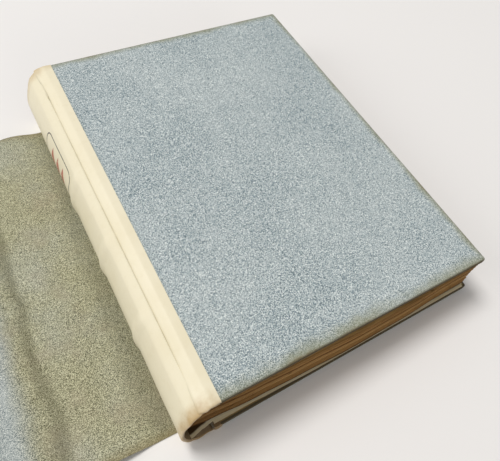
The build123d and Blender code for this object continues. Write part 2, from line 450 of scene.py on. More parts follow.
@dataclass(frozen=True)
class Vellum:
    """Limed calf vellum: smooth, cream, clouded, a little waxy, stained brown where hands hold it."""

    name: str = "cream_vellum"
    ground: str = "F3EACE"
    shade: str = "E6DAB6"
    stain: str = "B28B46"
    # Dark olive of the groove line: partly dirt, partly painted shade.
    soot_and_shade: str = "7A7350"
    # Dark brown of the turned-in ends inside the hollow: partly soiling, partly painted shade.
    inside: str = "4A3012"
    ink: str = "34332F"
    red: str = "B23A2A"
    cloud: float = 26 * MM
    pore: float = 0.7 * MM
    frame_middle: tuple[float, float] = (2.5 * MM, 60.0 * MM)
    frame_half: tuple[float, float] = (14.8 * MM, 21.0 * MM)
    frame_corner: float = 6.0 * MM
    frame_line: float = 0.6 * MM
    lozenge_half: tuple[float, float] = (11.0 * MM, 3.6 * MM)
    lozenge_gap: float = 9.0 * MM
    mottle: float = 2.2 * MM
    ink_break: float = 1.2 * MM
    groove_break: float = 5.0 * MM
    stain_edge: float = 22.0 * MM
    soiled_tail: tuple[float, float] = (10.0 * MM, -4.0 * MM)
    handled_head: tuple[float, float] = (8.0 * MM, -4.0 * MM)

    def ornament(self, tree: Finish, around: Socket, up: Socket) -> tuple[Socket, Socket]:
        """Return the masks of the printed ornament: a plain rounded frame and three lozenges inside it.

        Args:
            tree: the material's tree.
            around: the distance round the spine from its middle.
            up: the height on the spine.

        Returns:
            The frame's mask and the lozenges' mask.
        """
        across = tree.add("Math ABSOLUTE", tree.add("Math SUBTRACT", around, self.frame_middle[0]))
        rise = tree.add("Math SUBTRACT", up, self.frame_middle[1])
        off = tree.add("Math ABSOLUTE", rise)
        spans = []
        for reach, half in zip((across, off), self.frame_half):
            past = tree.add("Math MAXIMUM", tree.add("Math SUBTRACT", reach, half - self.frame_corner), 0.0)
            spans.append(tree.add("Math POWER", past, 2.0))
        reach = tree.add("Math SQRT", tree.add("Math ADD", *spans))
        line = tree.add("Math ABSOLUTE", tree.add("Math SUBTRACT", reach, self.frame_corner))
        line = tree.add("MapRange SMOOTHSTEP", line, self.frame_line, self.frame_line * 0.5)
        half_gap = self.lozenge_gap / 2
        near = tree.add("Math ABSOLUTE", tree.add("Math WRAP", rise, half_gap, -half_gap))
        sides = [tree.add("Math DIVIDE", *side) for side in zip((across, near), self.lozenge_half)]
        shape = tree.add("MapRange SMOOTHSTEP", tree.add("Math ADD", *sides), 1.0, 0.85)
        within = tree.add("Math LESS_THAN", off, half_gap * 3)
        return line, tree.add("Math MULTIPLY", within, shape)

    def build(self, low: Vector, high: Vector) -> Material:
        """Return the vellum, stained towards its two ends.

        Args:
            low: the spine's lowest corner.
            high: its highest corner.

        Returns:
            The material. It reads the mesh's place at rest, "around", "groove" and "turned_in".
        """
        tree = Finish(self.name, 0.46, 0.42)
        add = tree.add
        place = add("Attribute", out=1, attribute_name="rest")
        around, groove, turned_in = (
            add("Attribute", out=2, attribute_name=name) for name in ("around", "groove", "turned_in")
        )
        cloud = add("TexNoise", place, None, 0.5 / self.cloud, 4.0, 0.6)
        colour = tree.over(linear(self.ground), self.shade, cloud, 0.42, 0.75, 0.45)
        mottle = add("TexNoise", place, None, 0.5 / self.mottle, 3.0, 0.7)
        colour = tree.over(colour, self.shade, mottle, 0.5, 0.72, 0.22)
        y = add("SeparateXYZ", place, out=1)
        wander = tree.wander(place, 8 * MM, self.stain_edge)
        tail = add("Math ADD", add("Math SUBTRACT", y, low.y), wander)
        head = add("Math ADD", add("Math SUBTRACT", high.y, y), wander)
        soiled = add("MapRange SMOOTHSTEP", tail, *self.soiled_tail, 0.0, 0.8)
        handled = add("MapRange SMOOTHSTEP", head, *self.handled_head, 0.0, 0.5)
        colour = add("MixRGB", add("Math MAXIMUM", soiled, handled), colour, linear(self.stain))
        worn = add("TexNoise", place, None, 0.5 / self.ink_break, 3.0, 0.7)
        worn = add("MapRange SMOOTHSTEP", worn, 0.3, 0.45)
        line, lozenges = self.ornament(tree, around, y)
        # The groove line gets a broken dark olive: partly dirt in the joint, partly painted shade in the
        # crease.
        patchy_groove = add("TexNoise", place, None, 0.5 / self.groove_break, 3.0)
        patchy_groove = add("MapRange SMOOTHSTEP", patchy_groove, 0.15, 0.5)
        marks = ((lozenges, worn, 0.85, self.red), (line, worn, 0.9, self.ink))
        # The turned-in ends take that dark brown, partly soiling and partly painted shade in the hollow.
        marks += ((groove, patchy_groove, 0.8, self.soot_and_shade), (turned_in, 1.0, 0.85, self.inside))
        for mask, broken, share, code in marks:
            mask = add("Math MULTIPLY", add("Math MULTIPLY", mask, broken), share)
            colour = add("MixRGB", mask, colour, linear(code))
        return tree.done(colour, add("TexNoise", place, None, 0.5 / self.pore, 3.0, 0.6), 0.03 * MM)


@dataclass(frozen=True)
class TonedEdges:
    """Wove text paper seen on its cut edges: browned with age, each leaf a little lighter or darker."""

    name: str = "browned_page_edges"
    deep: str = "6C4A24"
    middle: str = "B8925C"
    bright: str = "E0CA9C"
    # Dark brown for the real spots and for the painted shade at the block's bottom.
    soot_and_shade: str = "3B2814"
    page: str = "E4D6B2"
    toned_margin: tuple[float, float] = (4.0 * MM, 12.0 * MM)
    dark_backs: tuple[float, float] = (-30 * MM, -108 * MM)
    painted_shade_bottom: tuple[float, float] = (6.8 * MM, 5.4 * MM)
    spot: float = 3.2 * MM
    streak: float = 2.4 * MM

    def build(self, low: Vector, high: Vector) -> Material:
        """Return the page material, which reads "leaf_shade" and is pale inside the block's edges.

        Args:
            low: the block's lowest corner.
            high: its highest corner.

        Returns:
            The material.
        """
        tree = Finish(self.name, 0.93, 0.2)
        add = tree.add
        place = add("TexCoord", out=3)
        leaf = add("Attribute", out=2, attribute_name="leaf_shade")
        colour = tree.over(linear(self.deep), self.middle, leaf, 0.15, 0.6)
        colour = tree.over(colour, self.bright, leaf, 0.7, 1.0)
        drawn_out = add("Mapping", place, None, None, (0.12, 1.0, 3.0))
        streaks = add("TexNoise", drawn_out, None, 0.5 / self.streak, 3.0, 0.7)
        colour = tree.over(colour, self.deep, streaks, 0.45, 0.7, 0.5)
        x, y, z = add("SeparateXYZ", place, out=None).outputs
        colour = tree.over(colour, self.deep, x, *self.dark_backs, 0.55)
        # Painted shade: the lowest leaves, just over the back board, are darkened to paint the shadow in the
        # gap under the block.
        colour = tree.over(colour, self.soot_and_shade, z, *self.painted_shade_bottom, 0.85)
        spots = add("TexNoise", place, None, 0.5 / self.spot, 3.0, 0.7)
        colour = tree.over(colour, self.soot_and_shade, spots, 0.6, 0.75, 0.6)
        tail, head = add("Math SUBTRACT", y, low.y), add("Math SUBTRACT", high.y, y)
        fore = add("Math SUBTRACT", high.x, x)
        reach = add("Math MINIMUM", add("Math MINIMUM", tail, head), fore)
        colour = tree.over(colour, self.page, reach, *self.toned_margin)
        return tree.done(colour, add("TexNoise", place, None, 0.5 / (0.8 * MM), 2.0), 0.05 * MM)


@dataclass(frozen=True)
class PlainPaper:
    """A plain uncoated paper or card, with a light tooth and faint clouds, darkened by soil and painted
    shade.
    """

    name: str
    ground: str
    clouded: str
    cloud: float = 22 * MM
    browned: str = ""

    def build(self) -> Material:
        """Build the paper.

        Returns:
            The material. It reads the mesh's "soiled" where the paper is darkened, partly soiling and partly
            painted shade.
        """
        tree = Finish(self.name, 0.9, 0.25)
        add = tree.add
        place = add("TexCoord", out=3)
        cloud = add("TexNoise", place, None, 0.5 / self.cloud, 4.0, 0.6)
        colour = tree.over(linear(self.ground), self.clouded, cloud, 0.35, 0.75, 0.55)
        if self.browned:
            soiled = add("Attribute", out=2, attribute_name="soiled")
            colour = add("MixRGB", soiled, colour, linear(self.browned))
        return tree.done(colour, add("TexNoise", place, None, 0.5 / (0.5 * MM), 3.0, 0.6), 0.04 * MM)


@dataclass(frozen=True)
class WovenCloth:
    """A plain-woven binding cloth or tape, with its thread spacing in metres."""

    name: str
    ground: str
    gap: str
    spacing: float

    def build(self) -> Material:
        """Build the cloth.

        Returns:
            The material, woven along the piece's Y and Z.
        """
        tree = Finish(self.name, 0.95, 0.2)
        add = tree.add
        split = add("SeparateXYZ", add("TexCoord", out=3), out=None).outputs
        turns = [add("Math MULTIPLY", split[axis], 2 * math.pi / self.spacing) for axis in (1, 2)]
        weave = add("Math MULTIPLY", *[add("Math SINE", turn) for turn in turns])
        weave = add("Math MULTIPLY_ADD", weave, 0.5, 0.5)
        colour = add("MixRGB", weave, linear(self.gap), linear(self.ground))
        return tree.done(colour, weave, 0.12 * MM)


class End(Enum):
    """The two ends of the spine, by their place in its limits."""

    TAIL = 0
    HEAD = 1


@dataclass
class VellumSpine:
    """The vellum cover of the spine: one skin from the front board, over the spine, to the back board."""

    sizes: BookSizes = field(default_factory=BookSizes)
    band_places: tuple[float, ...] = (0.229, 0.4265, 0.624)
    band_height: float = 1.0
    band_reach: float = 5.6
    row_gap: float = 1.4
    lip_radius: float = 0.55
    turn_in: float = 9.0
    steps: int = 6
    cockle: float = 0.16
    cockle_size: float = 21.0
    groove_width: float = 0.6
    groove_fill: float = 1.9
    groove_run_out: float = 26.0
    groove_share: float = 0.25
    groove_spread: float = 0.052
    band_span: tuple[float, float] = (0.26, 0.72)
    band_ease: float = 0.14

    def section(self) -> list[Vector]:
        """Draw the outer line of the section.

        Returns:
            Its points, from the front lap over the spine to the back lap.
        """
        size = self.sizes
        middle, radius = size.spine_arc()
        rise = size.vellum - 0.3
        lap_end = size.vellum_lap + 0.2
        lap = [(lap_end, rise), (3.4, rise), (1.8, rise), (0.4, rise - 0.05), (-1.0, -0.25)]
        lap += [(-2.3, -0.75), (-3.4, -1.35), (-4.15, -2.1), (-4.5, -2.75), (-4.9, -2.45), (-5.5, -2.55)]
        points = [Vector((*size.front(x, z), 0)) for x, z in lap]
        for angle in (137, 143, 150, 160, 170, 180, 190, 198, 204):
            turn = math.radians(angle)
            reach = radius + 1.5 * smooth((158 - angle) / 26)
            point = middle + reach * complex(math.cos(turn), math.sin(turn))
            points.append(Vector((point.real, point.imag, 0)))
        bottom = size.book_bottom
        toe = [(-12.5, 1.35), (-11.0, 1.0), (-9.0, 1.35), (-6.6, 2.3), (-4.4, 3.15), (-2.4, 3.0)]
        toe += [(-1.0, 2.2), (-0.2, 1.3), (0.7, bottom + 0.1 - rise)]
        toe += [(x, bottom - rise) for x in (1.8, 3.4, lap_end)]
        points += [Vector((x, z, 0)) for x, z in toe]
        return catmull(points, self.steps)

    def ridge(self, height: float, share: float) -> float:
        """Return how far a raised band lifts the skin.

        Args:
            height: the place along the spine, from 0 to 1.
            share: the place round the section, from 0 to 1.

        Returns:
            The lift in millimetres.
        """
        start, end = self.band_span
        window = smooth((share - start) / self.band_ease) * smooth((end - share) / self.band_ease)
        lift = 0.0
        for band in self.band_places:
            away = abs(height - band) * self.sizes.board_height / self.band_reach
            lift += smooth(1 - away) * self.band_height
        return lift * window

    def filled(self, share: float, inward: float) -> float:
        """Return how far the skin stands off the groove's bottom, which runs out towards both ends."""
        near = math.exp(-(((share - self.groove_share) / self.groove_spread) ** 2))
        return self.groove_fill * near * smooth(1 - inward / self.groove_run_out)

    def lip_depth(self, share: float) -> float:
        """Return how deep the turned-in end goes: over the boards at the laps, over the inlay between."""
        on_board = max(smooth((0.28 - share) / 0.1), smooth((share - 0.875) / 0.035))
        over_inlay = 1.35 - 0.85 * smooth((share - 0.7) / 0.08)
        return over_inlay + (self.sizes.board_face + 0.15 - over_inlay) * on_board

    def limits(self, share: float) -> tuple[float, float]:
        """Return the tail and head ends of the skin at a place round the section, a little uneven."""
        shift = self.sizes.board_shift * (1 - smooth((share - 0.2) / 0.6))
        wave = 0.22 * math.sin(31 * share) + 0.14 * math.sin(57 * share + 1)
        return shift - 0.25 + wave, shift + self.sizes.board_height + 0.25 - wave

    def end_row(
        self, line: list[Vector], normals: list[Vector], depth: float | None, inward: float, end: End
    ) -> list[Vector]:
        """Return one row of the rounded, turned-in end.

        Args:
            line: the outer line.
            normals: its outward directions.
            depth: how deep the row lies under the outer line, or None for the turned-in flap.
            inward: the row's distance in from the end.
            end: which end this is.

        Returns:
            The row's corners.
        """
        row = []
        for place, point in enumerate(line):
            share = place / (len(line) - 1)
            under = self.lip_depth(share) if depth is None else depth
            moved = point + normals[place] * (self.filled(share, inward) - under)
            edge = self.limits(share)[end.value]
            row.append(self.sizes.at(moved.x, edge + inward if end is End.TAIL else edge - inward, moved.y))
        return row

    def body_rows(self, line: list[Vector], normals: list[Vector]) -> list[Vector]:
        """Lay the rows between the two ends.

        Args:
            line: the outer line.
            normals: its outward directions.

        Returns:
            The corners, with the bands and the skin's cockling.
        """
        size = self.sizes
        count = round(size.board_height / self.row_gap)
        corners = []
        for row in range(1, count):
            height = row / count
            for place, point in enumerate(line):
                share = place / (len(line) - 1)
                tail, head = self.limits(share)
                y = tail + (head - tail) * height
                probe = Vector((point.x, y, point.y)) / self.cockle_size
                window = smooth((share - 0.02) / 0.1) * smooth((0.98 - share) / 0.1)
                lift = self.ridge(height, share) + self.cockle * noise.noise(probe) * window
                lift += self.filled(share, min(y - tail, head - y))
                moved = point + normals[place] * lift
                corners.append(size.at(moved.x, y, moved.y))
        return corners

    def build(self, finish: Material) -> Piece:
        """Build the skin and dress it.

        Args:
            finish: the vellum.

        Returns:
            The finished piece.
        """
        size = self.sizes
        line = self.section()
        count = len(line)
        normals = []
        for place in range(count):
            ahead = line[min(count - 1, place + 1)] - line[max(0, place - 1)]
            normals.append(Vector((ahead.y, -ahead.x, 0)).normalized())
        radius, turns = self.lip_radius, [math.pi / 2 * step / 4 for step in range(5)]
        plan = [(None, self.turn_in), (None, radius)]
        plan += [(radius * (1 - math.sin(turn)), radius * (1 - math.cos(turn))) for turn in turns]
        corners = []
        for depth, inward in plan:
            corners += self.end_row(line, normals, depth, inward, End.TAIL)
        corners += self.body_rows(line, normals)
        for depth, inward in reversed(plan):
            corners += self.end_row(line, normals, depth, inward, End.HEAD)
        rows = len(corners) // count
        piece = mesh_object("vellum_spine_skin", corners, grid_faces(rows, count))
        self.measure(piece, line, rows)
        thicken(piece, size.vellum * MM * 0.8)
        rest = piece.data.attributes.new("rest", "FLOAT_VECTOR", "POINT")
        rest.data.foreach_set("vector", [value for vertex in piece.data.vertices for value in vertex.co])
        coat(piece, finish, 50)
        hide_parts("spine_vellum", "front_lap_vellum", "back_lap_vellum")
        hinge = self.hinge()
        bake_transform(piece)
        return piece

    def measure(self, piece: Piece, line: list[Vector], rows: int) -> None:
        """Keep each corner's distance round the spine, nearness to the groove and part in the flap.

        Args:
            piece: the skin.
            line: its outer line.
            rows: how many rows of corners it has.
        """
        level = self.sizes.spine_arc()[0].imag
        groove = Vector((*self.sizes.front(-self.sizes.groove_offset, -self.sizes.groove_depth), 0))
        run, total = [0.0], 0.0
        for first, second in zip(line, line[1:]):
            total += (second - first).length
            run.append(total)
        places = range(len(line))
        centre = min(places, key=lambda place: abs(line[place].y - level) + (line[place].x > 0) * 99)
        bottom = min(places, key=lambda place: (line[place] - groove).length)
        around = [(length - run[centre]) * -MM for length in run]
        near = [math.exp(-(((length - run[bottom]) / self.groove_width) ** 2)) for length in run]
        store(piece, "around", around * rows)
        fade = [
            smooth((rows - 3 - row) / 12) * (0.35 + 0.65 * smooth((row - 12) / 30)) for row in range(rows)
        ]
        store(piece, "groove", [value * share for share in fade for value in near])
        flap = [1.0, 0.8, 0.5, 0.2] + [0.0] * (rows - 8) + [0.2, 0.5, 0.8, 1.0]
        store(piece, "turned_in", [share for share in flap for _ in line])

    def hinge(self) -> Vector:
        """Return a point of the groove's line, where the front cover turns."""
        x, z = self.sizes.front(-self.sizes.groove_offset, -self.sizes.groove_depth)
        return self.sizes.at(x, self.sizes.board_height / 2, z)


@dataclass
class TextBlock:
    """The leaves: a fan of thin sheets, rounded at the back and nearly straight at the fore-edge."""

    sizes: BookSizes = field(default_factory=BookSizes)
    leaves: int = 176
    in_gathering: int = 11
    tail: float = 2.4
    height: float = 239.6
    leaf_width: float = 187.0
    shoulder: float = 0.4
    back_reach: float = 12.8
    toe: float = 8.0
    fore_square: float = 2.0
    fore_hollow: float = 1.5
    bottom: float = 4.8
    steps: int = 22
    tail_line: tuple[tuple[float, float], ...] = (
        (0, 3.2), (10, 2.0), (34, 0.3), (66, -0.8), (100, -1.8), (137, -1.5), (169, -0.2), (187, 0.0)
    )

    def leaf_tree(self) -> bpy.types.NodeTree:
        """Return the node tree that repeats one leaf up the block.

        Returns:
            A tree whose inputs are the leaf, its numbers, the block's heights and curves, and its finish.
        """
        group = bpy.data.node_groups.new("leaf_fan", "GeometryNodeTree")
        face = group.interface
        lengths = ("Bottom", "Thickness", "Slope", "Round", "Middle", "Reach", "Fore", "Hollow", "Width")
        kinds = {"Leaf": "Geometry", "Count": "Int", "In Gathering": "Int", "Seed": "Int"}
        kinds |= {**dict.fromkeys(lengths, "Float"), "Finish": "Material"}
        for name, kind in kinds.items():
            face.new_socket(name, in_out="INPUT", socket_type=f"NodeSocket{kind}")
        face.new_socket("Leaves", in_out="OUTPUT", socket_type="NodeSocketGeometry")
        add = Tree(group).add
        given = add("NodeGroupInput", out=None).outputs
        points = add("GeometryNodeMeshLine", {"Count": given["Count"], "Offset": (0, 0, 0)})
        number = add("GeometryNodeInputIndex")
        folded = add("Math FLOOR", add("Math DIVIDE", number, given["In Gathering"]))
        share = add("Math DIVIDE", add("Math ADD", number, 0.5), given["Count"])
        rise = add("Math ADD", given["Bottom"], add("Math MULTIPLY", share, given["Thickness"]))
        away = add("Math POWER", add("Math SUBTRACT", rise, given["Middle"]), 2.0)
        square = add("Math SUBTRACT", add("Math POWER", given["Round"], 2.0), away)
        back = add("Math SUBTRACT", given["Reach"], add("Math SQRT", square))
        tilt = add("Math MULTIPLY", share, given["Slope"])
        rise = add("Math SUBTRACT", rise, add("Math MULTIPLY", back, tilt))
        bowed = add("Math SINE", add("Math MULTIPLY", share, math.pi))
        hollow = add("Math MULTIPLY", bowed, given["Hollow"])
        width = add("Math SUBTRACT", add("Math SUBTRACT", given["Fore"], hollow), back)

        def scattered(low: tuple, high: tuple, chosen: object) -> Socket:
            """Return a random vector between two corners for each number of a socket."""
            between = {"Min": low, "Max": high, "ID": chosen, "Seed": given["Seed"]}
            return add("FunctionNodeRandomValue", between, data_type="FLOAT_VECTOR")

        jog = scattered((-0.35, -0.45, 0), (0.35, 0.45, 0), folded)
        slip = scattered((-0.3, -0.2, 0), (0.3, 0.2, 0), number)
        jog = add("VectorMath SCALE", {0: add("VectorMath ADD", jog, slip), 3: MM})
        place = add("VectorMath ADD", add("CombineXYZ", back, 0.0, rise), jog)
        moved = add("GeometryNodeSetPosition", {"Geometry": points, "Position": place})
        shades = add("SeparateXYZ", scattered((0, 0, 0), (0.6, 0.4, 1), folded))
        shades = add("Math ADD", shades, add("SeparateXYZ", scattered((0, 0, 0), (0.4, 1, 1), number)))
        kept = {"Geometry": moved, "Name": "leaf_shade", "Value": shades}
        moved = add("GeometryNodeStoreNamedAttribute", kept, data_type="FLOAT", domain="POINT")
        size = add("CombineXYZ", add("Math DIVIDE", width, given["Width"]), 1.0, 1.0)
        turn = add("CombineXYZ", 0.0, tilt, 0.0)
        spread = {"Points": moved, "Instance": given["Leaf"], "Rotation": turn, "Scale": size}
        real = add("GeometryNodeRealizeInstances", add("GeometryNodeInstanceOnPoints", spread))
        dressed = add("GeometryNodeSetMaterial", {"Geometry": real, "Material": given["Finish"]})
        add("NodeGroupOutput", dressed, out=None)
        return group

    def one_leaf(self) -> Piece:
        """Build a single leaf.

        Returns:
            The leaf, whose folded edge is at the origin and whose tail edge waves a little.
        """
        thick = (self.top(0) - self.bottom) / self.leaves * 0.9
        corners, faces = [], []
        for step in range(self.steps + 1):
            x = self.leaf_width * step / self.steps
            pinch = 1 - 0.22 * step / self.steps
            for y in (along(self.tail_line, x), self.height - 0.4 * math.sin(x / 40)):
                for side in (-1, 1):
                    corners.append(Vector((x, y, side * thick * pinch / 2)) * MM)
        for step in range(self.steps):
            low = 4 * step
            faces += [(low, low + 2, low + 6, low + 4), (low + 1, low + 5, low + 7, low + 3)]
            faces += [(low, low + 4, low + 5, low + 1), (low + 2, low + 3, low + 7, low + 6)]
        last = 4 * self.steps
        faces += [(0, 1, 3, 2), (last, last + 2, last + 3, last + 1)]
        return mesh_object("text_leaves", corners, faces)

    def top(self, x: float) -> float:
        """Return the height of the block's upper face at a distance from the boards' spine edge."""
        size = self.sizes
        tilt = math.radians(size.cover_slope)
        return size.book_thickness - (size.cover_total + 0.5) / math.cos(tilt) - x * math.tan(tilt)

    def build(self, finish: Material) -> Piece:
        """Build the leaves and dress them.

        Args:
            finish: the page-edge material.

        Returns:
            The finished piece.
        """
        size = self.sizes
        bow = complex(-self.back_reach, (self.bottom + self.top(-self.back_reach)) / 2)
        shoulder = complex(self.shoulder, self.top(self.shoulder))
        middle, radius = circle(shoulder, bow, complex(-self.toe, self.bottom))
        leaf = self.one_leaf()
        fan = leaf.modifiers.new("fan", "NODES")
        fan.node_group = self.leaf_tree()
        values = {
            "Count": self.leaves,
            "In Gathering": self.in_gathering,
            "Seed": 5,
            "Bottom": self.bottom * MM,
            "Thickness": (self.top(0) - self.bottom) * MM,
            "Slope": math.radians(size.cover_slope),
            "Round": radius * MM,
            "Middle": middle.imag * MM,
            "Reach": middle.real * MM,
            "Fore": (size.board_width - self.fore_square) * MM,
            "Hollow": self.fore_hollow * MM,
            "Width": self.leaf_width * MM,
            "Finish": finish,
        }
        for item in fan.node_group.interface.items_tree:
            if item.name in values:
                fan[item.identifier] = values[item.name]
        apply_modifiers(leaf)
        leaf.data.transform(Matrix.Translation(size.at(0, self.tail, 0)))
        leaf.data.update()
        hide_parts(*[f"gathering_{number:02d}" for number in range(1, 17)])
        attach(leaf, Body.BOOK.value)
        return leaf


class Side(Enum):
    """The two covers of the book."""

    FRONT = "front"
    BACK = "back"


@dataclass
class CoveredBoard:
    """One board in its cover paper, with softened edges and blunted fore-edge corners."""

    name: str
    side: Side
    body: Body
    sizes: BookSizes = field(default_factory=BookSizes)
    grow: float = 0.3
    edge_round: float = 0.5
    corner_round: float = 1.3

    def local(self, x: float, y: float, z: float) -> Vector:
        """Place a point of the flat cover.

        Args:
            x: the place across the flat cover, from its spine edge.
            y: the place up it.
            z: the place over its outer face.

        Returns:
            The point in the model's frame.
        """
        size = self.sizes
        if self.side is Side.FRONT:
            across, height = size.front(x, z)
            return size.at(across, y + size.board_shift, height)
        return size.at(x, y, size.book_bottom - z)

    def outline(self, inset: float) -> list[tuple[float, float]]:
        """Draw the cover's plan.

        Args:
            inset: how far the plan is drawn in.

        Returns:
            Its points, from the spine side round the fore-edge corners.
        """
        size = self.sizes
        radius = max(0.6, self.corner_round - inset)
        left, right = size.vellum_lap - 0.3, size.board_width + self.grow - inset - radius
        low, high = radius - self.grow + inset, size.board_height + self.grow - inset - radius
        runs = [[(left, low - radius)]]
        for middle, start in ((low, -90), (high, 0)):
            turns = [math.radians(start + 15 * step) for step in range(7)]
            arc = [(math.cos(turn) * radius, math.sin(turn) * radius) for turn in turns]
            runs.append([(right + x, middle + y) for x, y in arc])
        runs.append([(left, high + radius)])
        plan = list(runs[0])
        for steps, before, after in zip((24, 32, 24), runs, runs[1:]):
            (x, y), (end_x, end_y) = before[-1], after[0]
            shares = [step / steps for step in range(1, steps)]
            plan += [(x + (end_x - x) * share, y + (end_y - y) * share) for share in shares]
            plan += after
        return plan

    def build(self, finish: Material) -> Piece:
        """Build the paper-covered board and dress it.

        Args:
            finish: the cover paper.

        Returns:
            The finished piece.
        """
        size = self.sizes
        thick = size.board_face + self.grow
        rings = [(2.0, 0.0, 0.0)]
        for step in range(4):
            turn = math.pi / 2 * step / 3
            drop = self.edge_round * (1 - math.cos(turn))
            rings.append((self.edge_round * (1 - math.sin(turn)), -drop, 0.5 * step / 3))
        for step in range(4):
            turn = math.pi / 2 * step / 3
            rise = self.edge_round * (1 - math.sin(turn))
            rings.append((self.edge_round * (1 - math.cos(turn)), rise - thick, 0.5 + 0.15 * step / 3))
        rings.append((self.edge_round + 1.4, -thick, 1.0))
        vertices, faces, sides = [], [], []
        count = len(self.outline(0))
        for inset, z, side in rings:
            vertices += [self.local(x, y, z) for x, y in self.outline(inset)]
            sides += [side] * count
        for ring in range(len(rings) - 1):
            for place in range(count):
                low = ring * count + place
                near = ring * count + (place + 1) % count
                faces.append((low, near, near + count, low + count))
        faces.append(tuple(range(count)))
        last = (len(rings) - 1) * count
        faces.append(tuple(range(last, last + count))[::-1])
        piece = mesh_object(self.name, vertices, faces)
        face_outwards(piece.data)
        store(piece, "side", sides)
        coat(piece, finish)
        side = self.side.value
        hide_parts(f"{side}_cover_paper")
        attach(piece, self.body.value)
        return piece


@dataclass
class LowerEndpaper:
    """The endpaper under the leaves: it lies on the back board, dips in the joint and ends in the hollow."""

    sizes: BookSizes = field(default_factory=BookSizes)
    profile: tuple[tuple[float, float], ...] = (
        (-12.2, 3.5), (-9.5, 3.35), (-6.5, 3.75), (-3.5, 4.3), (-0.5, 4.5), (3.0, 4.54), (60.0, 4.54),
        (174.6, 4.54),
    )
    tail_edge: tuple[tuple[float, float], ...] = (
        (-12.2, 0.8), (-4, 2.2), (2, 3.3), (10, 2.7), (34, 1.1), (66, 0.35), (175, 0.35)
    )
    head: float = 243.6
    paper: float = 0.16
    rows: int = 60
    clean_strip: float = 1.5
    soil_and_shade_from: float = 2.3

    def build(self, finish: Material) -> Piece:
        """Build the sheet and dress it.

        Args:
            finish: the endpaper.

        Returns:
            The finished piece.
        """
        line = catmull([Vector((x, z, 0)) for x, z in self.profile], 5)
        insets = [0.0, self.clean_strip, self.soil_and_shade_from]
        corners, soiled = [], []
        for row in range(self.rows + 1):
            for point in line:
                low = along(self.tail_edge, point.x)
                high = self.head - 0.2 * math.sin(point.x * 0.11)
                span = high - low - 2 * self.soil_and_shade_from
                y = low + self.soil_and_shade_from + span * max(0, row - 2) / (self.rows - 4)
                if row < 3:
                    y = low + insets[row]
                elif row > self.rows - 3:
                    y = high - insets[self.rows - row]
                corners.append(self.sizes.at(point.x, y, point.y))
                # Past the clean strip the paper is dark brown: partly soiling, partly painted shade under
                # the leaves and in the hollow.
                soiled.append(1.0 if 2 <= row <= self.rows - 2 else 0.0)
        piece = mesh_object("lower_endpaper", corners, grid_faces(self.rows + 1, len(line)))
        store(piece, "soiled", soiled)
        thicken(piece, self.paper * MM)
        coat(piece, finish)
        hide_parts("back_flyleaf")
        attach(piece, Body.BOOK.value)
        return piece


